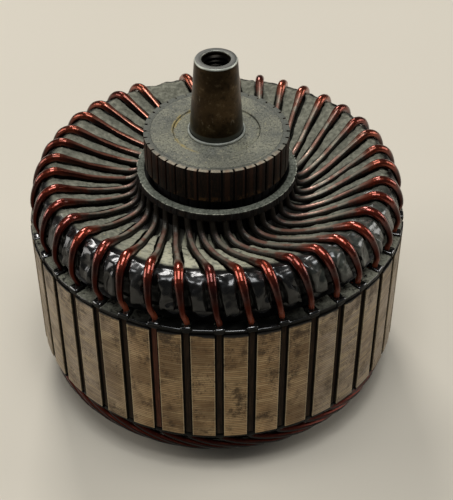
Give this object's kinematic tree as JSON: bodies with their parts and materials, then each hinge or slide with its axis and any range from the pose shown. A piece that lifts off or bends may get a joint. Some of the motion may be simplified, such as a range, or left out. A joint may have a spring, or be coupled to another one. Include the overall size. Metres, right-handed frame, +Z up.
{
  "type": "wound commutator armature",
  "caption": "Wound armature of a small generator: slotted laminated core, wire crown, bar commutator and a tapered hollow shaft nose.",
  "frame": {"origin": "centre of the hub's lower seat face, where the armature stands", "axes": "+Z up the shaft to the nose, -Y towards the side the picture shows"},
  "size_m": [0.09, 0.09, 0.0864],
  "materials": {
    "shaft_steel": "worn bronze-brown steel",
    "collar_steel": "bright worn steel",
    "core_steel": "ground sheet edges with brown stains",
    "black_fibre": "dusty matt",
    "slot_paper": "varnished",
    "black_varnish": "glossy with dust on top",
    "slot_strip": "varnished fibre",
    "red_strip": "varnished fibre",
    "enamelled_wire": "red-brown gloss enamel over copper",
    "bar_copper": "dark oxidised copper, bare on its rim",
    "mica": "matt",
    "cap_moulding": "dusty grey-green",
    "washer_moulding": "dusty grey-green"
  },
  "bodies": {
    "root": {"shaft": "shaft_steel", "nose_collar": "collar_steel", "lamination_core": "core_steel", "top_end_plate": "black_fibre", "bottom_end_plate": "black_fibre", "slot_liners": "slot_paper", "top_cuffs": "black_varnish", "bottom_cuffs": "black_varnish", "slot_strips": "slot_strip", "red_slot_strip": "red_strip", "upper_slot_conductors": "enamelled_wire", "lower_slot_conductors": "enamelled_wire", "top_wires": "enamelled_wire", "crown_insulation": "black_varnish", "crown_spacers": "black_varnish", "torn_insulation": "black_varnish", "neck_sleeve": "black_fibre", "commutator_bars": "bar_copper", "mica_separators": "mica", "commutator_sleeve": "black_fibre", "end_cap": "cap_moulding", "cap_washer": "washer_moulding", "bottom_outer_wires": "enamelled_wire", "bottom_inner_wires": "enamelled_wire", "bottom_support_ring": "black_varnish", "bottom_layer_sheet": "black_fibre"}
  },
  "joints": []
}
